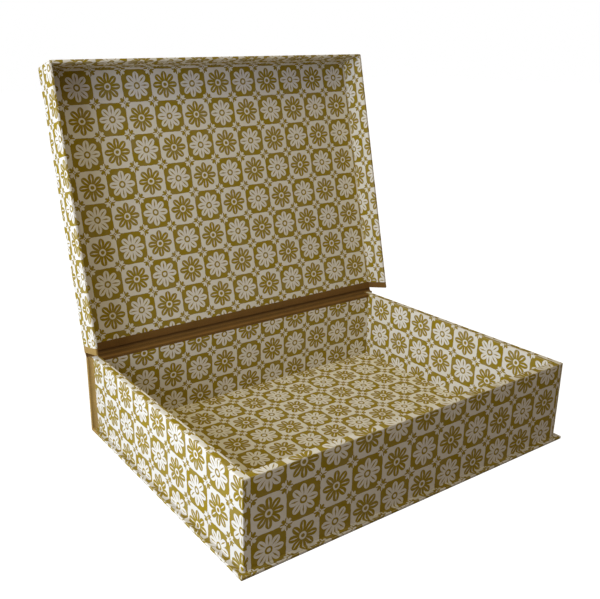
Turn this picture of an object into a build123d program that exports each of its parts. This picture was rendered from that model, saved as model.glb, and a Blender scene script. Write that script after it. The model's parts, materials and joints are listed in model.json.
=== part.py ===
from build123d import *
import os
from math import asin, degrees

# An A4 box file in covered board, standing open.
# The tray stands on a base board, the spine board stands behind it, and the shallow lid hangs on bookcloth.
# Millimetres. X runs to the right along the hinge, Y to the back, Z up. The origin is on the table, under the
# middle of the tray.

# Driving sizes: materials
skin = 0.25  # printed paper or bookcloth, glued down
case_board = 2.0  # greyboard of the base, the spine and the lid
wall_board = 6.5  # thick board of the tray's walls
web = 0.6  # two layers of bookcloth and their glue, at the joint

# Driving sizes: tray
tray_width = 331.0  # over the covers
tray_depth = 243.0  # from the front cover to the back wall's board
tray_height = 72.3  # from the table to the rims
ledge = 4.5  # base board beyond the tray, at the front, left and right
rim_round = 0.8  # rims and front corners of the tray
case_round = 0.4  # edges of the base

# Driving sizes: lid
lid_depth = 249.5  # from the back edge to the free edge
lid_height = 28.1  # from the outer face to the rims
lid_corner_round = 1.5  # corners where two lid walls meet
lid_edge_round = 0.5  # rims and outer edges of the lid
wall_end_setback = 0.3  # hinge ends of the lid's side walls, short of its back edge

# Driving sizes: how the paper and the cloth are cut
corner_lap = 3.0  # side covers turned round the front corners
foot = 3.5  # wall covers turned out onto the ledge
base_turn = 12.0  # bookcloth turned under the base board
side_lap = 4.0  # bookcloth on the tray's side walls
rim_lap = 3.0  # bookcloth down the inside of the back wall
lid_band = 6.5  # bookcloth along the lid's back edge, inside and outside
sheet_margin = 3.0  # outer sheet of the lid, short of the edges

# Driving sizes: hinge
rest_opening = 103.2  # degrees the lid stands open, counted from shut
hinge_rise = 0.7  # hinge line above the rims
hinge_gap = 3.0  # from the hinge line to the lid's back edge
shut_gap = 0.35  # lid lining above the rims when the lid is shut
web_gap = 0.35  # between the two halves of the joint cloth
table_gap = 0.5  # lid's free edge above the table when it is thrown right back

# Worked out: heights and thicknesses
board_top = skin + case_board
panel = case_board + 2 * skin  # base or lid board with its covers
wall = wall_board + 2 * skin  # tray wall with its covers
rim_board_round = rim_round - skin
case_width = tray_width + 2 * ledge

# Worked out: faces, from the front to the back
half_tray = tray_width / 2
half_case = case_width / 2
half_room = half_tray - wall  # inner faces of the side walls
half_web = half_case - lid_edge_round  # joint cloth, clear of the spine's rounded corners
front = -tray_depth / 2
case_front = front - ledge
back_board = tray_depth / 2  # outer face of the back wall's board
tray_back = back_board + skin
spine_back = tray_back + case_board
case_back = spine_back + skin
turn_front = tray_back - base_turn
lap_front = tray_back - side_lap

# Worked out: hinge line, and the lid's place when it stands open
hinge_y = case_back - web / 2
hinge_z = tray_height + hinge_rise
hinge_depth = shut_gap + panel - hinge_rise  # hinge line below the lid's outer face
lid_pose = Pos(0, hinge_y, hinge_z) * Rot(X=180 - rest_opening) * Pos(0, hinge_gap, -hinge_depth)
free_reach = hinge_gap + lid_depth
fall_back = degrees(asin((hinge_z - hinge_depth - table_gap) / free_reach))
print("hinge line", (0, round(hinge_y, 3), round(hinge_z, 3)))
print("range", round(fall_back + 180 - rest_opening, 2), "degrees further back,", rest_opening, "to shut")


def slab(x, y, z, mode=Mode.ADD):
    """Add, cut or keep the block that spans the given x, y and z ranges."""
    with BuildSketch(Plane.XY.offset(z[0])) as outline:
        with Locations(((x[0] + x[1]) / 2, (y[0] + y[1]) / 2)):
            Rectangle(x[1] - x[0], y[1] - y[0])
    extrude(outline.sketch, amount=z[1] - z[0], mode=mode)


def prism(points, z, mode=Mode.INTERSECT):
    """Add, cut or keep the upright prism over a closed outline."""
    with BuildSketch(Plane.XY.offset(z[0])) as outline:
        with BuildLine():
            Polyline(*points, close=True)
        make_face()
    extrude(outline.sketch, amount=z[1] - z[0], mode=mode)


def finish(piece, name, pose=None):
    """Put a finished piece in its place, name it and write it."""
    if pose is not None:
        piece.part.move(pose)
    piece.part.label = name
    export_step(piece.part, f"parts/{name}.step")


os.makedirs("parts", exist_ok=True)

# Ranges that more than one piece is cut to
tall = (0, tray_height)
wide = (-half_case, half_case)
above_board = (board_top, tray_height)
room_x = (-half_room, half_room)
room_back = tray_back - wall  # inner face of the back wall
room_front = front + wall  # inner face of the front wall


def tray_ring(inset, radius):
    """The four tray walls in one ring, drawn back from the covers' faces by an inset."""
    with BuildPart() as ring:
        x = (-half_tray + inset, half_tray - inset)
        y = (front + inset, tray_back - inset)
        inner_x = (-half_room - inset, half_room + inset)
        inner_y = (room_front - inset, room_back + inset)
        z = (board_top, tray_height - inset)
        slab(x, y, z)
        slab(inner_x, inner_y, z, Mode.SUBTRACT)
        fillet(ring.edges().filter_by(Axis.Z).group_by(Axis.Y)[0], radius)
        # The back wall's outer rim stays square, because the spine board stands against it.
        rims = ring.edges().group_by(Axis.Z)[-1].sort_by(Axis.Y)[:-1]
        fillet(rims, radius)
    return ring.part


tray_boards = tray_ring(skin, rim_board_round)
tray_envelope = tray_ring(0, rim_round)

# Base board
with BuildPart() as base_board:
    slab((-half_case + skin, half_case - skin), (case_front + skin, tray_back), (skin, board_top))
finish(base_board, "base_board")

# Base covers: printed paper from the front, bookcloth turned under at the back
with BuildPart() as base_envelope:
    slab(wide, (case_front, tray_back), (0, panel))
    fillet(base_envelope.edges().filter_by(Axis.Z).group_by(Axis.Y)[0], case_round)
    fillet(base_envelope.faces().sort_by(Axis.Z)[0].edges().sort_by(Axis.Y)[:-1], case_round)
    add(base_board.part, mode=Mode.SUBTRACT)
    slab((-half_tray, half_tray), (front, tray_back), (board_top, panel), Mode.SUBTRACT)

with BuildPart() as base_cover:
    add(base_envelope.part)
    slab(wide, (case_front, turn_front), (0, panel), Mode.INTERSECT)
finish(base_cover, "base_cover")

with BuildPart() as base_turn_cloth:
    add(base_envelope.part)
    slab(wide, (turn_front, tray_back), (0, panel), Mode.INTERSECT)
finish(base_turn_cloth, "base_turn_cloth")

# Tray walls: the side walls run the full depth, the front and back walls fit between them
wall_joint = half_room + skin  # inner board face of the side walls

with BuildPart() as tray_left_wall:
    add(tray_boards)
    slab((-half_tray, -wall_joint), (front, tray_back), above_board, Mode.INTERSECT)
finish(tray_left_wall, "tray_left_wall")

with BuildPart() as tray_right_wall:
    add(tray_boards)
    slab((wall_joint, half_tray), (front, tray_back), above_board, Mode.INTERSECT)
finish(tray_right_wall, "tray_right_wall")

with BuildPart() as tray_front_wall:
    add(tray_boards)
    slab((-wall_joint, wall_joint), (front, 0), above_board, Mode.INTERSECT)
finish(tray_front_wall, "tray_front_wall")

with BuildPart() as tray_back_wall:
    add(tray_boards)
    slab((-wall_joint, wall_joint), (0, tray_back), above_board, Mode.INTERSECT)
finish(tray_back_wall, "tray_back_wall")

# Tray covers: one thin shell over the wall boards, with a foot on the ledge, cut where the sheets meet
with BuildPart() as tray_skin:
    add(tray_envelope)
    with BuildSketch(Plane.XY.offset(panel)) as foot_outline:
        with Locations((0, (front - foot + tray_back) / 2)):
            Rectangle(tray_width + 2 * foot, tray_back - front + foot)
        chamfer(foot_outline.vertices().group_by(Axis.Y)[0], foot)
    extrude(amount=skin)
    slab(room_x, (room_front, room_back), above_board, Mode.SUBTRACT)
    add(tray_boards, mode=Mode.SUBTRACT)

# The front sheet stops short of the corners outside. On the rim it runs out to the corner and is mitred there.
tray_front_sheet = [
    (-half_tray + corner_lap, case_front),
    (-half_tray + corner_lap, front + skin),
    (-half_tray + rim_round, front + rim_round),
    (-half_room, room_front),
    (half_room, room_front),
    (half_tray - rim_round, front + rim_round),
    (half_tray - corner_lap, front + skin),
    (half_tray - corner_lap, case_front),
]

with BuildPart() as tray_front_cover:
    add(tray_skin.part)
    prism(tray_front_sheet, above_board)
finish(tray_front_cover, "tray_front_cover")

for side, name in ((-1, "left"), (1, "right")):
    outer = sorted((side * half_case, side * half_room))
    beyond_board = sorted((side * half_case, side * (half_tray - skin)))
    below_rim = (board_top, tray_height - rim_round)

    with BuildPart() as side_cover:
        add(tray_skin.part)
        slab(outer, (case_front, tray_back), above_board, Mode.INTERSECT)
        prism(tray_front_sheet, above_board, Mode.SUBTRACT)
        slab(beyond_board, (lap_front, tray_back), below_rim, Mode.SUBTRACT)
    finish(side_cover, f"tray_{name}_cover")

    # Bookcloth from the ear of the spine board onto the side wall
    with BuildPart() as corner_cloth:
        wall_leg = sorted((side * half_tray, side * (half_tray - skin)))
        ear_leg = sorted((side * half_tray, side * half_case))
        slab(wall_leg, (lap_front, tray_back), below_rim)
        slab(ear_leg, (back_board, tray_back), (panel, tray_height))
    finish(corner_cloth, f"corner_cloth_{name}")

# Inside of the back wall, bookcloth over its rim, and the floor
with BuildPart() as rim_cloth:
    add(tray_skin.part)
    slab(room_x, (room_back, tray_back), above_board, Mode.INTERSECT)
    slab(room_x, (room_back, room_back + skin), (board_top, tray_height - rim_lap), Mode.SUBTRACT)
finish(rim_cloth, "rim_cloth")

with BuildPart() as back_wall_lining:
    slab(room_x, (room_back, room_back + skin), (board_top, tray_height - rim_lap))
finish(back_wall_lining, "back_wall_lining")

with BuildPart() as floor_lining:
    slab(room_x, (room_front, room_back), (board_top, panel))
finish(floor_lining, "floor_lining")

# Spine board and its bookcloth
with BuildPart() as spine_board:
    slab((-half_case + skin, half_case - skin), (tray_back, spine_back), (skin, tray_height - skin))
finish(spine_board, "spine_board")

with BuildPart() as spine_cloth:
    slab(wide, (tray_back, case_back), tall)
    fillet(spine_cloth.edges().filter_by(Axis.Z).group_by(Axis.Y)[-1], lid_edge_round)
    add(spine_board.part, mode=Mode.SUBTRACT)
finish(spine_cloth, "spine_cloth")

# Joint cloth on the spine: it stands on the spine cloth and ends in a round knuckle on the hinge line
with BuildPart() as hinge_cloth_spine:
    with BuildSketch(Plane.YZ.offset(-half_web)):
        with Locations((hinge_y, tray_height + hinge_rise / 2)):
            Rectangle(web, hinge_rise)
        with Locations((hinge_y, hinge_z)):
            Circle(web / 2)
    extrude(amount=2 * half_web)
finish(hinge_cloth_spine, "hinge_cloth_spine")

# Lid, drawn lying on its outer face: X across, Y from the back edge to the free edge, Z towards the rims.
lid_y = (0, lid_depth)
lid_z = (0, lid_height)
lid_board_x = (-half_case + skin, half_case - skin)
lid_room_x = (-half_case + panel, half_case - panel)
lid_room_end = lid_depth - panel
wall_joint_x = (lid_room_x[0] - skin, lid_room_x[1] + skin)


def wall_corners(part):
    """The upright outer edges where the side walls meet the front wall."""
    return part.edges().filter_by(Axis.Z).group_by(Axis.Y)[-1]


with BuildPart() as lid_board:
    slab(lid_board_x, (skin, lid_depth - skin), (skin, board_top))
    fillet(wall_corners(lid_board), lid_corner_round - skin)

with BuildPart() as lid_wall_boards:
    upright = (board_top, lid_height - skin)
    slab(lid_board_x, (wall_end_setback + skin, lid_depth - skin), upright)
    fillet(wall_corners(lid_wall_boards), lid_corner_round - skin)
    slab(wall_joint_x, (0, lid_room_end + skin), upright, Mode.SUBTRACT)

lid_pieces = {"lid_board": lid_board}
for name, x, y in (
    ("left", (-half_case, wall_joint_x[0]), lid_y),
    ("right", (wall_joint_x[1], half_case), lid_y),
    ("front", wall_joint_x, (lid_room_end, lid_depth)),
):
    with BuildPart() as lid_wall:
        add(lid_wall_boards.part)
        slab(x, y, lid_z, Mode.INTERSECT)
    lid_pieces[f"lid_{name}_wall"] = lid_wall

# Outer sheet and lining of the lid's panel
with BuildPart() as lid_outer_sheet:
    outer_sheet_x = (-half_case + sheet_margin, half_case - sheet_margin)
    slab(outer_sheet_x, (lid_band, lid_depth - sheet_margin), (0, skin))
lid_pieces["lid_outer_sheet"] = lid_outer_sheet

with BuildPart() as lid_lining:
    slab(lid_room_x, (lid_band, lid_room_end), (board_top, panel))
lid_pieces["lid_lining"] = lid_lining

# Lid covers: one thin shell round the panel and the walls, cut where the sheets meet
with BuildPart() as lid_skin:
    slab(wide, lid_y, lid_z)
    fillet(wall_corners(lid_skin), lid_corner_round)
    fillet(lid_skin.faces().sort_by(Axis.Z)[0].edges().sort_by(Axis.Y)[1:], lid_edge_round)
    slab(lid_room_x, (0, lid_room_end), (panel, lid_height), Mode.SUBTRACT)
    slab(wide, (0, wall_end_setback), (panel, lid_height), Mode.SUBTRACT)
    fillet(lid_skin.edges().group_by(Axis.Z)[-1], lid_edge_round)
    for inner in (lid_board, lid_wall_boards, lid_outer_sheet, lid_lining):
        add(inner.part, mode=Mode.SUBTRACT)

# The lid's front sheet is cut in the same way.
mitre_x = half_case - sheet_margin
mitre_y = lid_depth - sheet_margin
lid_front_sheet = [
    (-half_case + corner_lap, lid_depth),
    (-half_case + corner_lap, lid_depth - skin),
    (-half_case + lid_corner_round, lid_depth - lid_corner_round),
    (-mitre_x, mitre_y),
    (mitre_x, mitre_y),
    (half_case - lid_corner_round, lid_depth - lid_corner_round),
    (half_case - corner_lap, lid_depth - skin),
    (half_case - corner_lap, lid_depth),
]

with BuildPart() as lid_front_cover:
    add(lid_skin.part)
    prism(lid_front_sheet, lid_z)
lid_pieces["lid_front_cover"] = lid_front_cover

for side, name in ((-1, "left"), (1, "right")):
    outer = sorted((side * half_case, side * mitre_x))

    with BuildPart() as side_cover:
        add(lid_skin.part)
        slab(outer, (lid_band, lid_depth), lid_z, Mode.INTERSECT)
        prism(lid_front_sheet, lid_z, Mode.SUBTRACT)
    lid_pieces[f"lid_{name}_cover"] = side_cover

    with BuildPart() as wall_end_cloth:
        add(lid_skin.part)
        slab(outer, (0, lid_band), (panel, lid_height), Mode.INTERSECT)
    lid_pieces[f"wall_end_cloth_{name}"] = wall_end_cloth

with BuildPart() as lid_back_cloth:
    add(lid_skin.part)
    slab(wide, (0, lid_band), (0, panel), Mode.INTERSECT)
lid_pieces["lid_back_cloth"] = lid_back_cloth

# Joint cloth on the lid: it runs from the lid's back edge to just short of the knuckle
with BuildPart() as hinge_cloth_lid:
    web_start = -hinge_gap + web / 2 + web_gap
    web_z = (hinge_depth - web / 2, hinge_depth + web / 2)
    slab((-half_web, half_web), (web_start, 0), web_z)
lid_pieces["hinge_cloth_lid"] = hinge_cloth_lid

for name, piece in lid_pieces.items():
    finish(piece, name, lid_pose)
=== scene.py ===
# %% [markdown]
# # A covered box file
# A box file is board covered in thin sheets: block-printed paper on the walls and the panels, bookcloth
# where the lid bends. The boards are already in the frame that this script loads. What is made here is
# what the hand and the eye meet, which is the sheets, with their folds, laps and cut edges, and the
# finish of paper and cloth. Everything is in metres, in the frame's own axes: X along the hinge, Y to the
# back, Z up. A length times MM is written in millimetres.

# %% Load the frame
import json
from math import ceil, cos, pi, radians, sin, sqrt, tan

import bmesh
import bpy
import numpy as np
from mathutils import Matrix, Quaternion, Vector


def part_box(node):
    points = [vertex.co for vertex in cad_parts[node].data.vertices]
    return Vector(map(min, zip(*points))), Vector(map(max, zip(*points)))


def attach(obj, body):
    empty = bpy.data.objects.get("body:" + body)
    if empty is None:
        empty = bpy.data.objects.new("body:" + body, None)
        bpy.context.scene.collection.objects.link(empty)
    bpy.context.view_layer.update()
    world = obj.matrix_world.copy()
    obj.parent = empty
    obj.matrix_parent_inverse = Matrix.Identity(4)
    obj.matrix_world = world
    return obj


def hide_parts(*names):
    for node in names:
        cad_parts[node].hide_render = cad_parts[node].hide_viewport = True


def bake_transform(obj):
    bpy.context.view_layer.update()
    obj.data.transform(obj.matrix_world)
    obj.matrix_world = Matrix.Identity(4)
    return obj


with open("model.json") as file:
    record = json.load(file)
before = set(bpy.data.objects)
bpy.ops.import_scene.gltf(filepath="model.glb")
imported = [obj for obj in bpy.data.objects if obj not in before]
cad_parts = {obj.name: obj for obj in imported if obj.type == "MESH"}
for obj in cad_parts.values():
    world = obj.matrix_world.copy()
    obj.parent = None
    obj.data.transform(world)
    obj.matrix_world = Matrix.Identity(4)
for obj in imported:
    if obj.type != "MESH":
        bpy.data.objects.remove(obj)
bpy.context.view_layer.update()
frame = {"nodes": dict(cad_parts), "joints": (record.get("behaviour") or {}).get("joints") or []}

MM = 0.001

# %% [markdown]
# ## The camera
# The camera comes first, because every later judgement is made through it. It could be moved by eye until
# the box looks right, but a fit to the tray's straight edges in the photograph is surer. So it is written
# down as a place, a point that it looks at and a very slight tilt. A picture 600 pixels wide with a focal
# length of 751 pixels is a lens of 45 mm on a 36 mm sensor. The lens doesn't point at the middle of the
# picture, and a shift of the sensor gives that without turning the camera.

# %% Place the camera
camera_place = Vector((-0.39317, -0.46850, 0.33211))
camera_target = Vector((-0.05963, 0.05024, 0.12681))
camera_tilt = radians(-0.67)
sensor_width = 36.0
focal_pixels = 751.4
picture_width = 600
lens_shift = (0.1096, -0.002)  # in widths of the picture


def put(name, data):
    """A new object in the scene, made from its data: a camera, a lamp or a mesh."""
    made = bpy.data.objects.new(name, data)
    bpy.context.scene.collection.objects.link(made)
    return made


def look(place, target):
    """The turn that makes a camera or a lamp at a place look at a target."""
    return (Vector(target) - Vector(place)).to_track_quat("-Z", "Y")


camera = put("camera", bpy.data.cameras.new("camera"))
camera.data.sensor_width = sensor_width
camera.data.lens = sensor_width * focal_pixels / picture_width
camera.data.shift_x, camera.data.shift_y = lens_shift
camera.location = camera_place
camera.rotation_mode = "QUATERNION"
camera.rotation_quaternion = look(camera_place, camera_target) @ Quaternion((0, 0, 1), camera_tilt)
bpy.context.scene.camera = camera
print("lens", round(camera.data.lens, 2), "mm")

# %% [markdown]
# ## Sizes from the frame
# Sizes could be typed in again, but then a change to the boards would leave their covers behind. So the
# boxes of the boards and the covers in the frame give every size of the tray. The lid leans back at rest,
# so its corners mean little as they stand. Turned back about the hinge line, each of its nodes has a
# plain box again: x along the hinge, `along` from the hinge line to the free edge, and `above` from the
# hinge line towards the rims. The same turn puts a sheet that was drawn flat back on the leaning lid.

# %% Measure the tray
skin = 0.25 * MM  # a glued sheet's thickness in the frame

board_low, board_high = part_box("tray_left_wall")
half_tray = skin - board_low.x
half_room = -board_high.x - skin
tray_front = board_low.y - skin
tray_back = board_high.y + skin
rim = board_high.z + skin
wall = half_tray - half_room
room_front = tray_front + wall
room_back = tray_back - wall

base_low, base_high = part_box("base_cover")
half_case = base_high.x
case_front = base_low.y
turn_front = base_high.y  # where the paper round the base gives way to cloth
panel = base_high.z
ledge = half_case - half_tray
foot = -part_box("tray_left_cover")[0].x - half_tray  # how far the wall paper reaches onto the ledge
lap_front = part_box("corner_cloth_left")[0].y
ear_front = tray_back - skin
case_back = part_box("spine_cloth")[1].y
rim_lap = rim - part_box("back_wall_lining")[1].z  # how far the rim's cloth comes down inside
print("tray", half_tray, tray_front, tray_back, rim)

# %% Measure the lid
joint = frame["joints"][0]
hinge = Vector(joint["pos_m"])
lean = pi - radians(joint["range_deg"][1])  # from lying flat behind the tray; half a turn shuts the lid
lid_pose = Matrix.Translation(hinge) @ Matrix.Rotation(lean, 4, "X")


def lying_box(node):
    """The box of a lid node, turned back flat about the hinge line: x, along, above."""
    places = [lid_pose.inverted() @ vertex.co for vertex in frame["nodes"][node].data.vertices]
    low = Vector([min(values) for values in zip(*places)])
    high = Vector([max(values) for values in zip(*places)])
    return low, high


sheet_low, sheet_high = lying_box("lid_outer_sheet")
lining_low, lining_high = lying_box("lid_lining")
cloth_low, cloth_high = lying_box("lid_back_cloth")
lid_corner = lying_box("lid_front_cover")[1]

lid_start = cloth_low.y  # the lid's back edge, as a distance from the hinge line
lid_band_end = cloth_high.y
lid_end = lid_corner.y
lid_outside = sheet_low.z  # the outer face, below the hinge line when the lid lies on it
lid_inside = lining_high.z
lid_rim = lid_corner.z
lid_wall = half_case - lining_high.x
wall_end = lying_box("wall_end_cloth_left")[0].y
print("lid", lid_start, lid_end, lid_outside, lid_rim)

# %% [markdown]
# ## Folding a sheet
# A covering sheet is flat paper folded round board. It could be a box with a picture on each side, but
# then the print would break at every edge. Folded from its section, a few straight runs with small rounds
# between them, the print runs over the rims as it does on real paper. `fold` turns such a section into
# rows. Each row keeps how far along the paper it lies, which later gives the print its place, and its
# wear_and_shade: above 0 in a bend, where hands rub the sheet, and below 0 where shade is painted in.

# %% Fold a section


class Row:
    """A line of a folded sheet: across and up lie in its section, and along lies on the flat paper.

    wear_and_shade is above 0 where the sheet is rubbed and below 0 where it takes a painted shade,
    and start says how far from the back of the walls it begins.
    """

    def __init__(self, across, up, along, wear_and_shade, start=0.0):
        self.across = across
        self.up = up
        self.along = along
        self.wear_and_shade = wear_and_shade
        self.start = start


def fold(points, rounds, arc_steps=5, longest_run=8 * MM):
    """Rows of the section through points, with each inner corner rounded to its radius."""
    corners = [Vector(point) for point in points]
    line = [(corners[0], 0.0)]
    for before, corner, after, radius in zip(corners, corners[1:], corners[2:], rounds):
        into = (corner - before).normalized()
        out = (after - corner).normalized()
        turn = into.angle_signed(out)
        reach = radius * tan(abs(turn) / 2)
        side = Vector((-into.y, into.x)) * (-1 if turn > 0 else 1)
        centre = corner - into * reach + side * radius
        for step in range(arc_steps + 1):
            share = step / arc_steps
            spoke = Matrix.Rotation(-turn * share, 2) @ (-side * radius)
            line.append((centre + spoke, sin(pi * share)))
    line.append((corners[-1], 0.0))

    rows = [Row(*line[0][0], 0.0, 0.0)]
    for (place, wear_and_shade), (last, _) in zip(line[1:], line):
        length = (place - last).length
        pieces = max(1, ceil(length / longest_run))
        for piece in range(1, pieces + 1):
            at = last.lerp(place, piece / pieces)
            wear_shade = wear_and_shade if piece == pieces else 0.0
            rows.append(Row(at.x, at.y, rows[-1].along + length / pieces, wear_shade))
    return rows


print("a square fold has", len(fold([(0, 0), (0, MM), (MM, MM)], [0.5 * MM])), "rows")

# %% [markdown]
# ## From rows to a mesh
# A grid of points, rows one way and stations the other, becomes one mesh. Where a sheet is cut on a
# mitre, many stations share one point, and the faces between them have no area: they are dissolved, which
# leaves a clean cut edge. The UV map holds real millimetres on the flat sheet, so a print or a weave has
# the same size on every piece. A flat sheet is told which way it faces, and a folded one faces away from
# the middle of its own points. Solidify then gives it its thickness, inwards. It could stay a modifier,
# but it is applied, so that the mesh itself holds the thickness that is seen.

# %% Place pieces and keep their layers
paper_thickness = 0.22 * MM
cloth_thickness = 0.30 * MM
sharp_angle = radians(40)
same_spot = 0.004 * MM  # points nearer to each other than this are one


def in_world(x, y, z):
    """Tray pieces are drawn where they stand."""
    return Vector((x, y, z))


def on_lid(x, along, above):
    """Lid pieces are drawn flat and turned onto the leaning lid."""
    return lid_pose @ Vector((x, along, above))


def new_build():
    """An empty mesh with its layers: place on the flat cut, wear_and_shade, and 1 where the cloth
    takes its darker copy, a painted shade on its inner side.
    """
    build = bmesh.new()
    cut = build.loops.layers.uv.new("cut")
    wear_shade = build.verts.layers.float.new("wear_and_shade")
    # this layer is 1 where the cloth takes its darker copy, a painted shade
    shaded_side = build.verts.layers.float.new("lining")
    return build, cut, wear_shade, shaded_side


def solidify(piece, thickness):
    """Give a piece its thickness, inwards, in the mesh itself."""
    solid = piece.modifiers.new("thickness", "SOLIDIFY")
    solid.thickness = thickness
    solid.offset = -1
    solid.use_even_offset = True
    seen = piece.evaluated_get(bpy.context.evaluated_depsgraph_get())
    mesh = bpy.data.meshes.new_from_object(seen)
    piece.modifiers.clear()
    piece.data = mesh
    mesh.name = piece.name


def smooth(mesh, material):
    """Shade a mesh smooth except at its sharp edges, and give it its material."""
    mesh.shade_smooth()
    mesh.set_sharp_from_angle(angle=sharp_angle)
    mesh.materials.clear()
    mesh.materials.append(material)


print("paper", paper_thickness / MM, "mm, bookcloth", cloth_thickness / MM, "mm")

# %% Make a sheet
cuts = {}  # each sheet's flat width, length and area


def sheet(name, parts, material, thickness, faces=None, lining=lambda place: 0.0):
    """A sheet from grids of (place, u, v, wear_and_shade). faces is the way that a flat sheet faces, and
    lining(place) is 1 where the cloth takes its darker copy, a painted shade.
    """
    places, us, vs, _ = zip(*[point for grid in parts for line in grid for point in line])
    middle = sum(places, Vector()) / len(places)
    width = max(us) - min(us)
    length = max(vs) - min(vs)
    mesh = bpy.data.meshes.new(name)
    build, cut, wear_shade, shaded_side = new_build()
    for grid in parts:
        lines = []
        for line in grid:
            lines.append([(build.verts.new(place), u, v, wear_and_shade) for place, u, v, wear_and_shade in line])
        for line, after in zip(lines, lines[1:]):
            for a, b, c, d in zip(line, line[1:], after[1:], after):
                face = build.faces.new((a[0], b[0], c[0], d[0]))
                for loop, (vertex, u, v, wear_and_shade) in zip(face.loops, (a, b, c, d)):
                    loop[cut].uv = (u / MM, v / MM)
                    vertex[wear_shade] = wear_and_shade
                    vertex[shaded_side] = lining(vertex.co)
    bmesh.ops.remove_doubles(build, verts=build.verts, dist=same_spot)
    bmesh.ops.dissolve_degenerate(build, edges=build.edges, dist=same_spot)
    bmesh.ops.recalc_face_normals(build, faces=build.faces)
    largest = max(build.faces, key=lambda face: face.calc_area())
    if largest.normal.dot(faces or largest.calc_center_median() - middle) < 0:
        bmesh.ops.reverse_faces(build, faces=build.faces)
    area = sum(face.calc_area() for face in build.faces)
    cuts[name] = (width, length, min(area, width * length))
    build.to_mesh(mesh)
    build.free()
    piece = put(name, mesh)
    solidify(piece, thickness)
    smooth(piece.data, material)
    return piece


def fix(piece, body, *nodes):
    """Let a piece ride on a body and stand for these nodes of the frame."""
    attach(piece, body)
    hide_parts(*nodes)
    "bookcloth" if "bookcloth" in piece.name else "printed_paper"


def declare(piece):
    """Print how a sheet was cut: its flat width, length and area."""
    width, length, area = cuts[piece.name]
    print(piece.name, round(width / MM, 1), "x", round(length / MM, 1), "mm", round(area * 1e4, 1), "cm2")


# %% [markdown]
# ## Three walls in one run
# The tray and the lid both have a left, a front and a right wall, and their papers meet at the corners in
# the same way: the side sheet is turned 3 mm round the upright corner, and the front sheet is cut
# straight there. Six walls could be drawn one by one, with six chances to miss a corner. So one class
# walks along all three walls, for one row after another. On the outer face the walk turns the corner on
# an arc. On the rim and inside it can't, because the walls are thick, and the walk stops on the mitre.

# %% Walk round three walls
corner_lap = 3 * MM  # how far the side sheets are turned round the corners
past_lap = 1 * MM  # from the lap's end to the next line of points
rounding = 1e-9  # two distances may differ by this and be the same


class Walls:
    """Left, front and right wall seen from above: half their width, front line and open back line."""

    def __init__(self, half_width, front, back, corner_round):
        self.half_width = half_width
        self.front = front
        self.back = back
        self.way = 1 if front > back else -1
        self.corner_round = corner_round
        self.side = abs(front - back)  # length of a side wall
        self.total = 2 * (self.side + half_width)

    def stations(self, spacing=7 * MM, arc_steps=6):
        """Distances along the walls at which the mesh has a line of points, closest at the corners."""
        near = [self.side + self.corner_round * (2 * step / arc_steps - 1) for step in range(arc_steps + 1)]
        near += [self.side + corner_lap, self.side + corner_lap + past_lap]
        side = list(np.linspace(0, near[0], max(2, ceil(near[0] / spacing)), endpoint=False))
        middle = self.side + self.half_width
        front = list(np.linspace(near[-1], middle, ceil((middle - near[-1]) / spacing) + 1))[1:]
        half = side + near + front
        return half + [self.total - s for s in reversed(half[:-1])]

    def between(self, first, last):
        """The stations from one distance to another."""
        return [s for s in self.stations() if first - rounding <= s <= last + rounding]

    def place(self, s, across, start):
        """x, y and distance along the sheet at station s, set in from the outer face by across."""
        sign = 1 if s > self.total / 2 else -1
        t = max(min(s, self.total - s), start)
        inset = max(across, self.corner_round)
        centre_x = self.half_width - self.corner_round
        centre_y = self.front - self.way * self.corner_round
        if t <= self.side - inset:
            x, y = self.half_width - across, self.back + self.way * t
        elif t >= self.side + inset:
            x, y = self.half_width - (t - self.side), self.front - self.way * across
        elif across < self.corner_round:
            angle = (t - self.side + self.corner_round) / (2 * self.corner_round) * pi / 2
            reach = self.corner_round - across
            x, y = centre_x + reach * cos(angle), centre_y + self.way * reach * sin(angle)
        else:
            x, y = self.half_width - across, self.front - self.way * across
            t = self.side + (across if t > self.side else -across)
        return sign * x, y, (t if sign < 0 else self.total - t)

    def grid(self, rows, stations, frame_of, shift=(0.0, 0.0)):
        """The grid of a sheet over these rows and stations, with its print shifted by shift."""
        made = []
        for row in rows:
            line = []
            for s in stations:
                x, y, t = self.place(s, row.across, row.start)
                line.append((frame_of(x, y, row.up), t + shift[0], row.along + shift[1], row.wear_and_shade))
            made.append(line)
        return made

    def lap(self):
        """Distances at which the front sheet starts and ends."""
        start = self.side + corner_lap
        return start, self.total - start


tray_walls = Walls(half_tray, tray_front, tray_back, corner_round=0.8 * MM)
lid_walls = Walls(half_case, lid_end, lid_band_end, corner_round=1.5 * MM)
base_edges = Walls(half_case, case_front, turn_front, corner_round=0.5 * MM)
print("stations", len(tray_walls.stations()), len(lid_walls.stations()))

# %% [markdown]
# ## Shader maths as plain Python
# A material is a small program, and it reads best as one. Its nodes could be wired by hand in the shader
# editor, where a long formula is hard to follow. Here `Field` wraps the output of a node. Adding, taking
# away, multiplying or dividing fields makes the Math nodes, and `node` makes any other node: its type,
# then its settings, then what goes into its sockets.

# %% Wrap a socket


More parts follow.
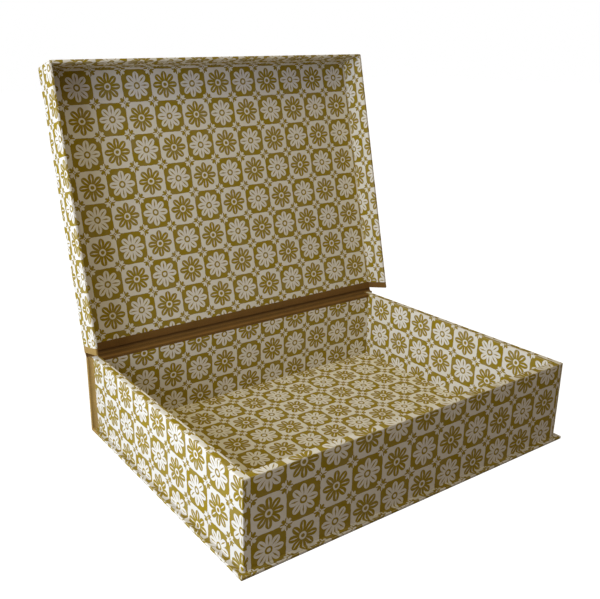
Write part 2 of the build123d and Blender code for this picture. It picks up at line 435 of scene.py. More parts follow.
class Field:
    """A value that varies over a surface. Arithmetic on it adds Math nodes to its material."""

    def __init__(self, tree, socket=None):
        self.tree = tree
        self.socket = socket

    def node(self, kind, settings, inputs, output=0):
        """Add a node of a kind, with its settings and then its inputs, and return one of its outputs."""
        made = self.tree.nodes.new(kind)
        for name, value in settings.items():
            setattr(made, name, value)
        for name, value in inputs.items():
            if isinstance(value, Field):
                self.tree.links.new(value.socket, made.inputs[name])
            else:
                made.inputs[name].default_value = value
        return Field(self.tree, made.outputs[output] if len(made.outputs) else None)

    def math(self, operation, *values, clamp=False):
        """Add a Math node on these values."""
        settings = {"operation": operation, "use_clamp": clamp}
        return self.node("ShaderNodeMath", settings, dict(enumerate(values)))

    def __add__(self, other):
        return self.math("ADD", self, other)

    def __radd__(self, other):
        return self.math("ADD", other, self)

    def __sub__(self, other):
        return self.math("SUBTRACT", self, other)

    def __rsub__(self, other):
        return self.math("SUBTRACT", other, self)

    def __mul__(self, other):
        return self.math("MULTIPLY", self, other)

    def __rmul__(self, other):
        return self.math("MULTIPLY", other, self)

    def __truediv__(self, other):
        return self.math("DIVIDE", self, other)

    def __rtruediv__(self, other):
        return self.math("DIVIDE", other, self)

    def __pow__(self, other):
        return self.math("POWER", self, other)

    def __rpow__(self, other):
        return self.math("POWER", other, self)

    def __abs__(self):
        return self.math("ABSOLUTE", self)

    def clamped(self):
        return self.math("ADD", self, 0.0, clamp=True)

    def edge(self, width):
        """1 where the field is above 0 and 0 where it is below, with a soft step this wide."""
        return (self / width + 0.5).clamped()

    def or_else(self, other):
        return self.math("MAXIMUM", self, other)

    def mixed(self, low, high):
        """Colour low where the field is 0 and high where it is 1. Sockets 6 and 7 are Mix's colours."""
        inputs = {0: self, 6: low, 7: high}
        return self.node("ShaderNodeMix", {"data_type": "RGBA"}, inputs, output=2)


# %% Read and feed a surface


def new_material(name):
    """A material with a Principled shader; returns it, its shader node and a Field to start from."""
    material = bpy.data.materials.new(name)
    material.use_nodes = True
    shader = material.node_tree.nodes["Principled BSDF"]
    return material, shader, Field(material.node_tree)


def flat_place(start):
    """Where a point lies on its sheet before folding, in mm."""
    return start.node("ShaderNodeUVMap", {"uv_map": "cut"}, {})


def u_and_v(start, place):
    """The two parts of a flat place."""
    return [start.node("ShaderNodeSeparateXYZ", {}, {0: place}, output=axis) for axis in (0, 1)]


def layer(start, name):
    """The value that the mesh keeps for its points under this name."""
    return start.node("ShaderNodeAttribute", {"attribute_name": name}, {}, output=2)


def noise(start, vector, scale, detail=2.0, roughness=0.5):
    """Soft noise about 0, from roughly -0.5 to 0.5."""
    inputs = {"Vector": vector, "Scale": scale, "Detail": detail, "Roughness": roughness}
    return start.node("ShaderNodeTexNoise", {}, inputs) - 0.5


def shade(colour, factor):
    """A colour made lighter or darker, as a socket's value."""
    return tuple(factor * part for part in colour) + (1.0,)


def feed(start, shader, socket, value):
    """Link a field to one of the shader's sockets."""
    start.tree.links.new(value.socket, shader.inputs[socket])


def emboss(start, shader, height, depth, strength):
    """Let the light fall as if a height of 1 stood up by depth."""
    bump = start.node("ShaderNodeBump", {}, {"Height": height, "Distance": depth, "Strength": strength})
    feed(start, shader, "Normal", bump)


def report(material):
    """Print how many nodes a material has, and hand it on."""
    print(material.name, "has", len(material.node_tree.nodes), "nodes")
    return material


# %% [markdown]
# ## The printed paper
# The paper is printed from a block in one olive ink on off-white stock. A repeat of squares takes the ink
# and the ground in turn, and each square carries a rosette of eight petals, and a quarter of a small
# flower in each corner, in the other colour. A picture of such a print would blur when seen close. Drawn
# as distances in millimetres it stays crisp, and every shape is a line of arithmetic: a petal is where
# the distance to the middle is under a radius that swells and shrinks with the angle. A block print is
# never quite crisp, though, so the place at which the drawing is read wobbles a little, and the ink lies
# thin in spots.

# %% Draw the block
block = 29.0  # side of one square, mm, like every length in this cell
half_block = block / 2
soft = 0.25  # softness of a printed edge
petal_count = 8
vein_half = 0.60  # half the width of the vein in each petal, where it is widest
vein_middle = 8.0  # how far that is from the flower's middle
vein_taper = 0.15  # how much narrower it gets with each millimetre from there
eye_outer = 3.2
eye_inner = 1.7
bud_eye = 1.3


def petals(x, y, inner, outer, fullness):
    """How far a point lies inside a flower, in mm, and its distance and angle from the middle."""
    reach = x.math("SQRT", x * x + y * y)
    angle = x.math("ARCTAN2", y, x)
    swell = abs(x.math("COSINE", angle * (petal_count / 2))) ** fullness
    return swell * (outer - inner) + inner - reach, reach, angle


def block_print(u, v):
    """1 where the block leaves ink and 0 where the ground shows, from place u, v on the sheet in mm."""
    column = u.math("FLOOR", u / block)
    line = u.math("FLOOR", v / block)
    odd = u.math("MODULO", abs(column + line), 2.0)
    x = u - block * column - half_block
    y = v - block * line - half_block

    flower, reach, angle = petals(x, y, inner=4.4, outer=12.4, fullness=0.42)
    aside = abs(u.math("SINE", angle * (petal_count / 2))) * reach / (petal_count / 2)
    vein = (vein_half - aside - vein_taper * abs(reach - vein_middle)).edge(soft)
    eye = (eye_outer - reach).edge(soft) - (eye_inner - reach).edge(soft)
    rosette = flower.edge(soft) - vein - eye

    bud, bud_reach, _ = petals(half_block - abs(x), half_block - abs(y), inner=2.6, outer=5.4, fullness=0.5)
    quarter = bud.edge(soft) - (bud_eye - bud_reach).edge(soft)
    figure = rosette.or_else(quarter).clamped()
    return odd + figure - 2.0 * odd * figure


# %% [markdown]
# ## Ink on paper
# The ink is matt and a touch uneven: denser at the rim of each shape, where the block squeezes it out,
# and thin in small specks. Folds are handled most, so there the ink is rubbed off in patches. On the
# wall's foot, the ledge and the lower rim of the front edge, a brown painted shade darkens ink and paper
# alike. Both follow from the wear_and_shade that the rows keep. The stock has a fine fibre, which shows
# as a soft bump and a faint change of tone. Paper as matt as this has almost no gloss.

# %% Make the printed paper
paper_colour = (0.830, 0.805, 0.750)
ink_colour = (0.328, 0.233, 0.013)
# colour of the painted shade on the wall's foot, the ledge and the front edge's lower rim
painted_shade_colour = (0.08, 0.05, 0.022, 1)
wander = (1.3, 1.3, 0)  # how far the drawing wobbles, mm
full_ink = 0.98
speck_level = 0.21
paper_roughness = 0.74
paper_gloss = 0.05
fibre_depth = 0.04 * MM


def printed_paper(name="printed_paper"):
    material, shader, start = new_material(name)
    cut = flat_place(start)
    wobble = start.node("ShaderNodeTexNoise", {}, {"Vector": cut, "Scale": 0.22, "Detail": 3.0}, output=1)
    steps = {0: wobble, 1: wander, 2: cut}
    moved = start.node("ShaderNodeVectorMath", {"operation": "MULTIPLY_ADD"}, steps)
    inked = block_print(*u_and_v(start, moved))

    wear_and_shade = layer(start, "wear_and_shade")
    cloud = noise(start, cut, scale=0.09, detail=3.0)
    grain = noise(start, cut, scale=1.1, detail=4.0, roughness=0.65)
    fibre = noise(start, cut, scale=4.0)
    patch = noise(start, cut, scale=0.13, detail=4.0, roughness=0.6)
    rubbed = (wear_and_shade * (0.40 + 1.8 * patch + 0.7 * grain)).clamped()
    # where the rows are below 0 they take a painted shade
    painted_shade = (wear_and_shade * (-0.34 - 0.4 * patch)).clamped()
    speck = (grain - speck_level).edge(0.05)
    squeeze = inked * (1.0 - inked) * 4.0
    body = full_ink + 0.22 * cloud - 0.30 * speck - 0.45 * rubbed
    density = (inked * body + 0.10 * squeeze * inked).clamped()

    stock_tone = (0.5 + 0.8 * cloud + 0.5 * fibre).clamped()
    stock = stock_tone.mixed(shade(paper_colour, 0.955), shade(paper_colour, 1.03))
    ink_tone = (0.5 + 1.0 * cloud + 0.9 * grain).clamped()
    ink = ink_tone.mixed(shade(ink_colour, 0.86), shade(ink_colour, 1.12))
    feed(start, shader, "Base Color", painted_shade.mixed(density.mixed(stock, ink), painted_shade_colour))
    feed(start, shader, "Roughness", paper_roughness + 0.1 * grain - 0.08 * density)
    emboss(start, shader, fibre * 0.35 + grain * 0.3 + density * 0.25, fibre_depth, strength=0.6)
    shader.inputs["Specular IOR Level"].default_value = paper_gloss
    return report(material)


paper = printed_paper()

# %% [markdown]
# ## The bookcloth
# Bookcloth is a plain weave, dyed right through and starched. Seen close, threads go over and under each
# other about twice in a millimetre, with a thicker one here and there. Threads made as a mesh would be
# millions of faces, and a box this size shows them only as a fine grain, so they are drawn. Two sine
# waves at right angles give the over and under, and a stretched noise gives the uneven threads. The same
# height drives the bump and the colour, and the hollows between threads get a painted shade. Where the
# cloth faces into the box it takes a darker copy of its colour, a painted shade, and the mesh says where.

# %% Make the bookcloth
cloth_colour = (0.385, 0.250, 0.078)
# a darker copy of the cloth's colour: painted shade where the cloth faces into the box
shaded_cloth_colour = (0.208, 0.108, 0.027)
thread_pitch = 0.52  # mm
turns = 2 * pi / thread_pitch
thread_sway = 1.2
slow = 0.06  # how fast a thread's thickness changes along it
quick = 1.7  # and from one thread to the next
cloth_roughness = 0.80
cloth_gloss = 0.15
thread_depth = 0.10 * MM


def thread_noise(start, cut, stretch):
    """Uneven threads, long one way and thin the other."""
    stretched = start.node("ShaderNodeVectorMath", {"operation": "MULTIPLY"}, {0: cut, 1: stretch})
    return noise(start, stretched, scale=1.0)


def woven_cloth(name="bookcloth"):
    material, shader, start = new_material(name)
    cut = flat_place(start)
    u, v = u_and_v(start, cut)
    weft = thread_noise(start, cut, (slow, quick, 1))
    warp = thread_noise(start, cut, (quick, slow, 1))
    over_u = start.math("SINE", u * turns + thread_sway * warp)
    over_v = start.math("SINE", v * turns + thread_sway * weft)
    threads = 0.5 + 0.28 * (over_u * over_v) + 0.5 * weft + 0.4 * warp
    cloud = noise(start, cut, scale=0.05, detail=3.0)

    # 1 where the cloth takes its painted-shade copy; the darker end of each mix is painted shade between
    # threads
    inside = layer(start, "lining")
    hollow_shade = inside.mixed(shade(cloth_colour, 0.62), shade(shaded_cloth_colour, 0.50))
    high = inside.mixed(shade(cloth_colour, 1.30), shade(shaded_cloth_colour, 1.30))
    tone = (threads + 0.35 * cloud + 0.25 * layer(start, "wear_and_shade")).clamped()
    feed(start, shader, "Base Color", tone.mixed(hollow_shade, high))
    feed(start, shader, "Roughness", cloth_roughness - 0.12 * threads)
    emboss(start, shader, threads, thread_depth, strength=0.8)
    shader.inputs["Specular IOR Level"].default_value = cloth_gloss
    return report(material)


cloth = woven_cloth()

# %% [markdown]
# ## The greyboard
# The boards are inside the covers and show only where two sheets meet with a hair's gap. They could be
# left out here, but a gap would then look hollow. They keep their shape from the frame, and only get the
# finish of pressed grey pulp with darker flecks.

# %% Make the greyboard
pulp_dark = (0.17, 0.16, 0.14, 1)
pulp_light = (0.30, 0.285, 0.255, 1)
pulp_roughness = 0.88
pulp_depth = 0.08 * MM


def pressed_board(name="greyboard"):
    material, shader, start = new_material(name)
    place = start.node("ShaderNodeTexCoord", {}, {}, output="Object")
    pulp = noise(start, place, scale=900.0, detail=4.0, roughness=0.7)
    fleck = noise(start, place, scale=260.0)
    tone = (0.5 + 1.1 * pulp + 0.5 * fleck).clamped()
    feed(start, shader, "Base Color", tone.mixed(pulp_dark, pulp_light))
    feed(start, shader, "Roughness", pulp_roughness + 0.1 * pulp)
    emboss(start, shader, pulp, pulp_depth, strength=0.5)
    return report(material)


board = pressed_board()
for node in frame["nodes"].values():
    for spot in node.material_slots:
        spot.material = board

# %% [markdown]
# ## Paper on the tray's walls
# From the base up: a foot glued out onto the ledge, the outer face, the rim, and the inner face down to
# the floor. The outer face stops under the bookcloth near the spine, the rim runs right to the back, and
# the inner face stops at the back wall. Cutting those ends off a longer mesh would leave ragged faces, so
# each row starts at its own distance from the back instead. The front sheet lies over the turned ends of
# the side sheets, and so stands off the wall by a little more. The foot gets a painted shade.

# %% Cover the tray's walls
rim_round = 0.8 * MM
foot_round = 0.6 * MM
tray_front_lift = 0.08 * MM
under_cloth = 1.5 * MM  # paper that runs on beneath the cloth
inner_edge = wall - 0.9 * rim_round  # past this the rim's round turns down inside
# how much painted shade the foot, the ledge and the spine's inner corners get
painted_shade_level = -1.0


def starting(rows, choose):
    """The same rows, each starting where choose says, with a doubled row wherever the start jumps."""
    made = []
    for row in rows:
        start = choose(row)
        if made and abs(made[-1].start - start) > skin:
            turn = made[-1] if start > made[-1].start else row
            made.append(Row(turn.across, turn.up, turn.along, turn.wear_and_shade, max(start, made[-1].start)))
        made.append(Row(row.across, row.up, row.along, row.wear_and_shade, start))
    return made


def tray_start(row):
    """How far from the back of the tray a row of its wall paper starts."""
    if row.up < rim - rim_round:
        return tray_back - room_back if row.across > wall / 2 else tray_back - lap_front - under_cloth
    if row.across > inner_edge:
        return tray_back - room_back - (wall - row.across)
    return 0.0


def tray_section(lift):
    """Rows of the tray's wall paper, standing off the walls by lift."""
    foot_level = panel + paper_thickness + lift
    points = [(-foot, foot_level), (-lift, foot_level), (-lift, rim + lift), (wall + lift, rim + lift),
              (wall + lift, panel)]
    rows = fold(points, [foot_round, rim_round, rim_round])
    # the foot on the ledge gets a painted shade
    for row in rows:
        if row.across < -lift:
            row.wear_and_shade = painted_shade_level
    return starting(rows, tray_start)


def cover_walls(body, walls, section, front_section, shifts, frame_of):
    """Left, front and right sheet round three walls, each with its print shifted in mm."""
    first, last = walls.lap()
    sheets = (("left", 0, first, section), ("front", first, last, front_section),
              ("right", last, walls.total, section))
    for (side, begin, end, rows), (du, dv) in zip(sheets, shifts):
        grid = walls.grid(rows, walls.between(begin, end), frame_of, (du * MM, dv * MM))
        piece = sheet(f"{body}_{side}_paper", [grid], paper, paper_thickness)
        fix(piece, body, f"{body}_{side}_cover")
        declare(piece)


cover_walls("tray", tray_walls, tray_section(0.0), tray_section(tray_front_lift), ((4, 9), (11, 2), (7, 9)),
            in_world)

# %% [markdown]
# ## Flat sheets
# The floor, the back wall's lining, the lid's lining and its outer sheet are plain rectangles. One big
# face each would do for a picture, but then the light would lie on them as on glass. So each is a grid
# with a barely visible cockle, as glued paper dries, which fades out towards the edges.

# %% Lay the flat sheets
cockle_run = (31 * MM, 23 * MM)  # along u and v, for one radian of the swell
cockle_phase = 1.0
cockle_edge = 12 * MM
outer_lift = 0.06 * MM  # over the turned edges of the lid's wall paper
up = Vector((0, 0, 1))
to_front = Vector((0, -1, 0))
lid_up = lid_pose.to_3x3() @ up


def rectangle(u_range, v_range, place, cockle=0.05 * MM, spacing=9 * MM):
    """A grid over two ranges; place turns u, v and a height above the surface into a point."""
    us = np.linspace(*u_range, ceil((u_range[1] - u_range[0]) / spacing) + 1)
    vs = np.linspace(*v_range, ceil((v_range[1] - v_range[0]) / spacing) + 1)
    made = []
    for v in vs:
        line = []
        for u in us:
            inner = min(u - u_range[0], u_range[1] - u, v - v_range[0], v_range[1] - v)
            swell = cockle * sin(u / cockle_run[0] + cockle_phase) * sin(v / cockle_run[1])
            line.append((place(u, v, swell * min(1.0, inner / cockle_edge)), u, v, 0.0))
        made.append(line)
    return made


def flat_sheet(name, u_range, v_range, place, faces, shift, node, body):
    """One rectangle of paper, with its print shifted in mm."""
    grid = rectangle(u_range, v_range, place)
    grid = [[(p, u + shift[0] * MM, v + shift[1] * MM, wear_and_shade) for p, u, v, wear_and_shade in line] for line in grid]
    piece = sheet(name, [grid], paper, paper_thickness, faces)
    fix(piece, body, node)
    declare(piece)


flat_sheet(
    "floor_paper", (-half_room, half_room), (room_front, room_back),
    lambda u, v, h: in_world(u, v, panel + h), up, (3, 20), "floor_lining", "tray")
flat_sheet(
    "back_wall_paper", (-half_room, half_room), (panel, rim - rim_lap + under_cloth),
    lambda u, v, h: in_world(u, room_back - h, v), to_front, (15, 5), "back_wall_lining", "tray")
flat_sheet(
    "lid_lining_paper", (lining_low.x, lining_high.x), (lining_low.y, lining_high.y),
    lambda u, v, h: on_lid(u, v, lid_inside + h), lid_up, (8, 12), "lid_lining", "lid")
flat_sheet(
    "lid_outer_paper", (sheet_low.x, sheet_high.x), (sheet_low.y, sheet_high.y),
    lambda u, v, h: on_lid(u, v, lid_outside - outer_lift - h), -lid_up, (1, 17), "lid_outer_sheet", "lid")

# %% [markdown]
# ## Paper on the lid's walls
# The lid's walls are covered like the tray's: the paper starts under the outer sheet, comes round the
# outer edge, up the wall, over the rim and down to the lining. So the same three-wall run serves again,
# drawn flat and turned onto the lid. Drawing it on the leaning lid would only make every number harder to
# read.

# %% Cover the lid's walls
lid_round = 0.5 * MM
lid_front_lift = 0.06 * MM
under_sheet = 4.5 * MM


def lid_section(lift):
    """Rows of the lid's wall paper, standing off the walls by lift."""
    points = [(under_sheet, lid_outside), (-lift, lid_outside), (-lift, lid_rim + lift),
              (lid_wall + lift, lid_rim + lift), (lid_wall + lift, lid_inside)]
    return fold(points, [lid_round, lid_round, lid_round], arc_steps=4)


cover_walls("lid", lid_walls, lid_section(0.0), lid_section(lid_front_lift), ((9, 13), (5, 6), (2, 13)),
            on_lid)

# %% [markdown]
# ## Paper round the base
# The base board's edges are covered from the ledge down and under, and one more sheet closes the
# underside. The last stretch at the back is bookcloth, turned under with the spine. The lower rim of the
# front edge is painted darker, a painted contact shadow. A darker colour on the whole edge would be
# simpler, but the painted shadow stops half way up, so the rows lie close together and each keeps its
# own wear_and_shade.

# %% Cover the base
base_round = 0.4 * MM
base_thickness = 0.9 * paper_thickness
under_wall = 1 * MM  # paper that runs on beneath the walls
under_turn = 9 * MM
under_gap = 0.1 * MM  # the closing sheet is the lowest thing on the box
under_margin = 5 * MM
under_thickness = 0.09 * MM
under_lift = 0.02 * MM
touching = 0.01 * MM  # places this near to each other touch
# a painted contact shadow on the lower rim of the front edge: how deep, how high and how dark
contact_shadow_depth = 0.3 * MM
contact_shadow_height = 1 * MM
contact_shadow_level = -2.8


def base_section():
    """Rows of the paper round the base board, from the ledge to the underside."""
    points = [(ledge + under_wall, panel), (0, panel), (0, under_gap), (under_turn, under_gap)]
    rows = fold(points, [base_round, base_round], arc_steps=4, longest_run=0.6 * MM)
    # the row that lies on the ledge gets a painted shade
    for row in rows:
        if row.up > panel - touching:
            row.wear_and_shade = painted_shade_level
    return rows


def with_contact_shadow(point):
    """The same point, with a painted contact shadow if it lies on the lower rim of the front edge."""
    place, u, v, wear_and_shade = point
    low_front = place.y < case_front + contact_shadow_depth and place.z < contact_shadow_height
    return place, u, v, contact_shadow_level if low_front else wear_and_shade


base_grid = base_edges.grid(base_section(), base_edges.stations(), in_world, shift=(6 * MM, 4 * MM))
base_grid = [[with_contact_shadow(point) for point in line] for line in base_grid]
under_grid = rectangle(
    (-half_case + under_margin, half_case - under_margin), (case_front + under_margin, turn_front),
    lambda u, v, h: in_world(u, v, max(0.0, under_lift - h)))
base_paper = sheet("base_paper", [base_grid], paper, base_thickness)
under_paper = sheet("base_under_paper", [under_grid], paper, under_thickness, -up)
for piece, held in ((base_paper, "folded"), (under_paper, "laid")):
    fix(piece, "tray", "base_cover")
    declare(piece)

# %% [markdown]
# ## The spine's bookcloth
# One cloth covers the spine board. Seen from above it starts on the tray's side wall, folds outwards at
# the board's ear, goes round the ear and across the back, and ends the same way on the other side. A
# cloth simulation could drape it, but glued cloth holds no slack, so its line is simply drawn and raised
# from the base to the top. Rows at the top are drawn in by a small round, and a strip closes the board's
# top edge. A second cloth is turned under the base. The inner corner where the cloth leaves the wall
# gets a painted shade.

# %% Cover the spine
ear_round = 0.5 * MM
bridge_round = 3.0 * MM  # the cloth doesn't reach right into the inner corner
cloth_lift = 0.10 * MM
top_round = 0.3 * MM
spine_levels = 12
top_steps = 3


def half_spine_line(lift):
    """From the middle of the back to the lap on the left wall, as rows of a fold: x across, y up."""
    side = -half_tray - lift
    points = [(0, case_back), (-half_case, case_back), (-half_case, ear_front), (side, ear_front),
              (side, lap_front)]
    rows = fold(points, [ear_round, ear_round, bridge_round])
    # the inner corner where the cloth leaves the wall gets a painted shade
    for row in rows:
        if row.up < ear_front + touching and row.across < side:
            row.wear_and_shade = painted_shade_level
    return rows


def spine_line(rows, z, mirror):
    """The line of the cloth at height z, drawn in where the top is round, on one side or mirrored."""
    over = max(0.0, z - (rim - top_round))
    inset = top_round - sqrt(max(0.0, top_round ** 2 - over ** 2))
    line = []
    for k, row in enumerate(rows):
        ahead = rows[min(k + 1, len(rows) - 1)]
        behind = rows[max(k - 1, 0)]
        run = Vector((ahead.across - behind.across, ahead.up - behind.up)).normalized()
        inward = Vector((-run.y, run.x)) * inset
        height = z if row.up > tray_back else max(z, panel)
        place = in_world(mirror * (row.across + inward.x), row.up + inward.y, height)
        line.append((place, mirror * row.along, height, row.wear_and_shade))
    return line


spine_rows = half_spine_line(cloth_lift)
levels = list(np.linspace(ear_round, rim - top_round, spine_levels))
levels += [rim - top_round * (1 - sin(a)) for a in np.linspace(0, pi / 2, top_steps + 1)[1:]]
spine_sides = [[spine_line(spine_rows, z, mirror) for z in levels] for mirror in (1, -1)]
spine_cloth = sheet("spine_bookcloth", spine_sides, cloth, cloth_thickness)

# %% Turn the cloth under and close the spine's top
turn_thickness = 0.05 * MM
turn_lift = 0.05 * MM
turn_margin = 0.2 * MM
top_thickness = 0.2 * MM
top_drop = 0.02 * MM


def along_hinge(rows, half_width, frame_of, count, back=0.0):
    """The grid of a cloth that lies straight along the hinge; half_width(row) is where each row ends."""
    made = []
    for row in rows:
        xs = np.linspace(-half_width(row), half_width(row), count)
        made.append([(frame_of(x, back + row.across, row.up), x, row.along, row.wear_and_shade) for x in xs])
    return made


turn_rows = fold([(turn_front, turn_lift), (case_back, turn_lift), (case_back, 2 * ear_round)], [ear_round])
turn_grid = along_hinge(turn_rows, lambda row: half_case - turn_margin, in_world, count=40)
turn_cloth = sheet("base_turn_bookcloth", [turn_grid], cloth, turn_thickness, -up)
top_grid = rectangle(
    (-half_case + top_round, half_case - top_round), (ear_front + top_round, case_back - top_round),
    lambda u, v, h: in_world(u, v, rim - top_drop))
spine_top = sheet("spine_top_bookcloth", [top_grid], cloth, top_thickness, up)
fix(spine_cloth, "tray", "spine_cloth", "corner_cloth_left", "corner_cloth_right")
fix(spine_top, "tray", "spine_cloth")
fix(turn_cloth, "tray", "base_turn_cloth")
declare(spine_cloth)
declare(turn_cloth)

# %% [markdown]
# ## Cloth on the base's edges
# Near the spine the base board's edges are cloth too. It could be part of the cloth that is turned under
# at the back, but a folded corner of three layers would hardly show. So it is the base paper's section
# again, a little larger, over a short run.

# %% Turn the cloth round the base's edges
edge_thickness = 0.15 * MM
edge_lift = 0.03 * MM
edge_low = 0.06 * MM
edge_lines = 4
edge_points = [(ledge, panel + edge_lift), (0, panel + edge_lift), (0, edge_low), (under_turn, edge_low)]
edge_rows = fold(edge_points, [base_round, base_round], arc_steps=4)
edge_stations = np.linspace(0, tray_back - turn_front, edge_lines)
for side, name in ((1, "right"), (-1, "left")):
    grid = []
    for row in edge_rows:
        x = side * (half_case - row.across)
        grid.append([(in_world(x, tray_back - s, row.up), s, row.along, row.wear_and_shade) for s in edge_stations])
    piece = sheet(f"base_edge_bookcloth_{name}", [grid], cloth, edge_thickness)
    fix(piece, "tray", "base_turn_cloth")
    declare(piece)

# %% [markdown]
# ## Cloth over the back wall's rim
# The inner cloth starts 3 mm down the inside of the back wall, goes over its rim and reaches the joint.
# It lies over the printed linings, so it stands off them by a hair. It takes the cloth's darker copy as
# painted shade, and its rows are painted lighter at the front edge and darker beside the joint, a
# painted shade of the groove. A texture could give that, but the values that its rows keep are enough.

# %% Cover the back rim
rim_gap = 0.6 * MM  # how far the cloth stops short of the back
groove_side = case_back - room_back - rim_gap
# painted light on the rim's front edge, fading to a painted shade beside the joint
rim_front_light = 1.2
rim_joint_shade = -1.8
shade_from = 0.6 * groove_side
rim_top = rim + cloth_lift
rim_points = [(-cloth_lift, rim - rim_lap), (-cloth_lift, rim_top), (groove_side, rim_top)]
rim_rows = fold(rim_points, [rim_round], longest_run=1 * MM)
for row in rim_rows:
    if row.up > rim:
        row.wear_and_shade = rim_front_light + (rim_joint_shade - rim_front_light) * min(1.0, row.across / shade_from)
rim_grid = along_hinge(
    rim_rows, lambda row: half_room + min(max(row.across, 0.0), rim_round), in_world, count=44,
    back=room_back)
# all of this cloth takes its darker copy, a painted shade
rim_cloth = sheet("rim_bookcloth", [rim_grid], cloth, cloth_thickness, lining=lambda place: 1.0)
fix(rim_cloth, "tray", "rim_cloth")
print("rim cloth", round(groove_side / MM, 2), "mm over the rim")

# %% [markdown]
# ## Cloth round the lid's back edge
# The cloth comes out of the joint, goes round the panel's back edge and lies in a narrow band outside and
# inside. Inside it fits between the side walls, outside it is as wide as the lid. Two bands and an edge
# strip would show their seams, so it is one sheet whose rows have different widths.

# %% Cover the lid's back edge
band_round = 0.45 * MM
band_margin = 0.15 * MM
outer_band = lid_outside - 0.02 * MM
inner_band = lid_inside + 0.05 * MM
inner_band_end = lid_band_end + 0.4 * MM
turned_in = lid_start + 0.2 * MM  # past this a row of the cloth lies inside
panel_middle = (lid_outside + lid_inside) / 2


def band_half_width(row):
    """Half the band's width: between the side walls inside, and nearly the lid's own outside."""
    inside = row.up > panel_middle and row.across > turned_in
    return half_case - (lid_wall if inside else band_margin)


def faces_room(place):
    """1 on the side of the lid's panel that faces into the box, where the cloth takes its painted shade."""
    return 1.0 if (lid_pose.inverted() @ place).z > panel_middle else 0.0


band_points = [(lid_band_end, outer_band), (lid_start, outer_band), (lid_start, inner_band),
               (inner_band_end, inner_band)]
band_rows = fold(band_points, [band_round, band_round])
band_grid = along_hinge(band_rows, band_half_width, on_lid, count=46)
band_cloth = sheet("lid_back_bookcloth", [band_grid], cloth, cloth_thickness, lining=faces_room)
fix(band_cloth, "lid", "lid_back_cloth")
declare(band_cloth)

# %% [markdown]
# ## Cloth on the ends of the lid's walls
# Each side wall ends in a cloth cap. It could be a small box, but its folds catch the light beside the
# hinge. Seen from above it is a small U round the wall's end, so it is the three-wall run once more, with
# the wall's half thickness as its width and the rim closed to the middle.

# %% Cap the wall ends
cap_thickness = 0.2 * MM
cap_turn = 0.9 * MM
cap_lift = 0.03 * MM
cap_low = lid_outside + cap_lift
cap_high = lid_rim + cap_lift
cap_lines = 4
corner_shares = (-0.6, -0.2, 0.2, 0.6, 1.0)  # places of its stations round the corner
end_cap = Walls(lid_wall / 2, wall_end, lid_band_end, corner_round=0.5 * MM)
end_rows = fold([(cap_turn, cap_low), (0, cap_low), (0, cap_high), (lid_wall / 2, cap_high)],
                [lid_round, lid_round], arc_steps=4)
end_stations = list(np.linspace(0, end_cap.side - end_cap.corner_round, cap_lines))
end_stations += [end_cap.side + end_cap.corner_round * share for share in corner_shares]
end_stations += [end_cap.side + end_cap.half_width]
end_stations += [end_cap.total - s for s in reversed(end_stations[:-1])]
for side, name in ((-1, "left"), (1, "right")):
    middle_x = side * (half_case - lid_wall / 2)
    grid = end_cap.grid(end_rows, end_stations, lambda x, y, z: on_lid(middle_x + x, y, z))
    # the cap's inner half takes the cloth's darker copy, a painted shade
    cap = sheet(
        f"wall_end_bookcloth_{name}", [grid], cloth, cap_thickness,
        lining=lambda place: 1.0 if abs(place.x) < abs(middle_x) else 0.0)
    fix(cap, "lid", f"wall_end_cloth_{name}")
    declare(cap)

# %% [markdown]
# ## The joint
# Between the spine's top and the lid's back edge there is only cloth, two layers glued together. It was
# pressed into the groove when the case was made, so it isn't straight but puckers a little. Its inner
# face takes the cloth's darker copy and gets darker still towards the lid, a painted shade of the groove.

# %% Draw the joint's section
half_web = 0.3 * MM  # half of the two layers' thickness
joint_steps = 12
joint_stations = 90
bow_power = 0.55  # below 1 the cloth leans back early and then rises
pucker_waves = ((0.05 * MM, 13 * MM, 0), (0.04 * MM, 5.3 * MM, 2))  # height, run and phase
row_spacing = 0.3 * MM
foot_gap = 0.05 * MM  # from the back of the case
foot_depth = 0.2 * MM  # below the rims
head_reach = 0.3 * MM  # past the lid's back edge
head_gap = 0.25 * MM  # from the lid's outer face
joint_foot = (case_back - half_web - foot_gap, rim - foot_depth)
joint_head = lid_pose @ Vector((0, lid_start + head_reach, lid_outside + half_web + head_gap))


def joint_loop(pucker):
    """The strip's closed section in y and z, as the lid stands at rest: up inside, down outside."""
    foot_y, foot_z = joint_foot
    inner = []
    outer = []
    for k in range(joint_steps + 1):
        t = k / joint_steps
        y = foot_y + (joint_head.y - foot_y) * t ** bow_power + pucker * sin(pi * t)
        z = foot_z + (joint_head.z - foot_z) * t
        inner.append(Vector((y - half_web, z)))
        outer.append(Vector((y + half_web, z)))
    return inner + outer[::-1] + inner[:1]


joint_low, joint_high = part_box("hinge_cloth_spine")
joint_grid = []
for x in np.linspace(joint_low.x, joint_high.x, joint_stations):
    pucker = sum(height * sin(x / run + phase) for height, run, phase in pucker_waves)
    places = [in_world(x, point.x, point.y) for point in joint_loop(pucker)]
    joint_grid.append([(place, x, k * row_spacing, 0.0) for k, place in enumerate(places)])
print("joint", round((joint_head.z - joint_foot[1]) / MM, 2), "mm high")

# %% Make the joint cloth
# a painted shade on the joint's inner face, deepest towards the lid
groove_shade = -1.6


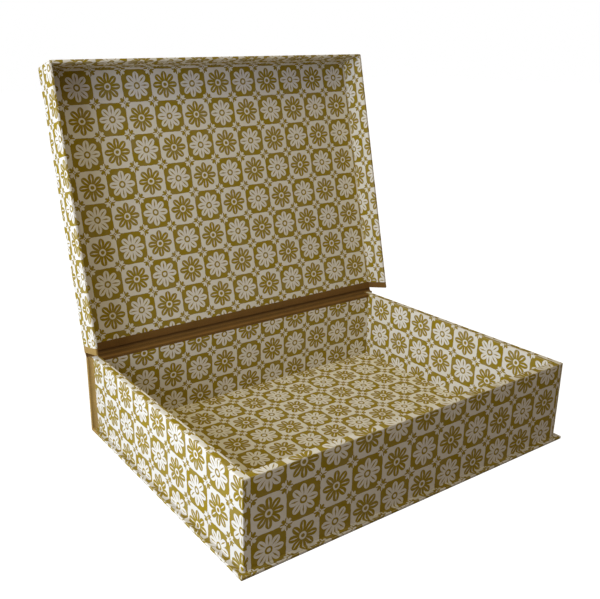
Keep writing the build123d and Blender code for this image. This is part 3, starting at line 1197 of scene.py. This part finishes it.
def strip(name, grid, material):
    """A closed tube of faces along the stations, with its two ends capped."""
    mesh = bpy.data.meshes.new(name)
    build, cut, wear_shade, shaded_side = new_build()
    rings = [[build.verts.new(point[0]) for point in line[:-1]] for line in grid]
    count = len(rings[0])
    inner_count = count // 2
    # the inner face takes the cloth's darker copy and a painted shade that deepens towards the lid
    for ring in rings:
        for k, vertex in enumerate(ring[:inner_count]):
            vertex[shaded_side] = 1.0
            vertex[wear_shade] = groove_shade * k / inner_count
    for (ring, after), (line, next_line) in zip(zip(rings, rings[1:]), zip(grid, grid[1:])):
        for k in range(count):
            face = build.faces.new((ring[k], ring[(k + 1) % count], after[(k + 1) % count], after[k]))
            for loop, point in zip(face.loops, (line[k], line[k + 1], next_line[k + 1], next_line[k])):
                loop[cut].uv = (point[1] / MM, point[2] / MM)
    for ring in (rings[0], rings[-1]):
        build.faces.new(ring)
    bmesh.ops.recalc_face_normals(build, faces=build.faces)
    build.to_mesh(mesh)
    build.free()
    smooth(mesh, material)
    return put(name, mesh)


joint_cloth = strip("joint_bookcloth", joint_grid, cloth)
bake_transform(joint_cloth)
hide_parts("hinge_cloth_spine", "hinge_cloth_lid")
declare(rim_cloth)

# %% [markdown]
# ## The floor
# The box stands on a wide plain floor, which keeps its shadow. More light could make the background
# white, but it would wash out the box too. So the camera alone sees the world as white, and the floor as
# half its own shade and half a white glow, which Is Camera Ray allows. Is Glossy Ray and Is Transmission
# Ray are added for the same white in reflections.

# %% Lay the floor
white = (1, 1, 1, 1)
floor_reach = 6.0
floor_drop = 0.2 * MM  # just below the box, so that no two faces share a place
floor_colour = (0.33, 0.30, 0.25, 1)
glow_strength = 2.1
glow_share = 0.5


def seen_directly(start):
    """1 for rays that look at the stage, straight or by reflection, and 0 for rays that carry its light."""
    camera_ray = start.node("ShaderNodeLightPath", {}, {}, output="Is Camera Ray")
    glossy_ray = start.node("ShaderNodeLightPath", {}, {}, output="Is Glossy Ray")
    clear_ray = start.node("ShaderNodeLightPath", {}, {}, output="Is Transmission Ray")
    return camera_ray.or_else(glossy_ray).or_else(clear_ray)


floor_corners = [(x * floor_reach, y * floor_reach, 0) for x, y in ((-1, -1), (1, -1), (1, 1), (-1, 1))]
floor_mesh = bpy.data.meshes.new("floor")
floor_mesh.from_pydata(floor_corners, [], [(0, 1, 2, 3)])
floor = put("floor", floor_mesh)
floor.location.z = -floor_drop

floor_material = bpy.data.materials.new("pale_floor")
floor_material.use_nodes = True
floor_material.node_tree.nodes.clear()
start = Field(floor_material.node_tree)
plain = start.node("ShaderNodeBsdfDiffuse", {}, {"Color": floor_colour})
glow = start.node("ShaderNodeEmission", {}, {"Color": white, "Strength": glow_strength})
seen = start.node("ShaderNodeMixShader", {}, {0: glow_share, 1: plain, 2: glow})
surface = start.node("ShaderNodeMixShader", {}, {0: seen_directly(start), 1: plain, 2: seen})
start.node("ShaderNodeOutputMaterial", {}, {"Surface": surface})
floor_mesh.materials.append(report(floor_material))

# %% [markdown]
# ## The light
# In the photograph the left side is bright and the front is in shade, as beside a window. So a cool, soft
# lamp stands to the left, low and near. A warm one hangs above, like the light of a room, and a weak fill
# comes from all round. A picture of a real room could light the scene by itself, but two lamps and a
# plain fill can be set to a level at which a colour looks about as it is written.

# %% Light the box
fill_colour = (1, 0.845, 0.82, 1)
fill_strength = 0.215

world = bpy.data.worlds.new("studio")
bpy.context.scene.world = world
world.use_nodes = True
world.node_tree.nodes.clear()
start = Field(world.node_tree)
fill = start.node("ShaderNodeBackground", {}, {"Color": fill_colour, "Strength": fill_strength})
backdrop = start.node("ShaderNodeBackground", {}, {"Color": white, "Strength": 1.0})
sky = start.node("ShaderNodeMixShader", {}, {0: seen_directly(start), 1: fill, 2: backdrop})
start.node("ShaderNodeOutputWorld", {}, {"Surface": sky})

bpy.context.scene.view_settings.view_transform = "Standard"


def soft_light(name, place, target, size, power, colour):
    """A square area lamp of that size, aimed at a point."""
    lamp = bpy.data.lights.new(name, "AREA")
    lamp.shape = "SQUARE"
    lamp.size = size
    lamp.energy = power
    lamp.color = colour
    made = put(name, lamp)
    made.location = place
    made.rotation_mode = "QUATERNION"
    made.rotation_quaternion = look(place, target)
    print(name, power, "W")


soft_light("window_light", place=(-0.68, -0.02, 0.30), target=(0, 0, 0.06), size=0.40, power=4.28,
           colour=(0.815, 0.885, 1))
soft_light("room_light", place=(-0.30, -0.25, 1.50), target=(0, 0, 0.1), size=1.0, power=6.25,
           colour=(1, 0.865, 0.37))
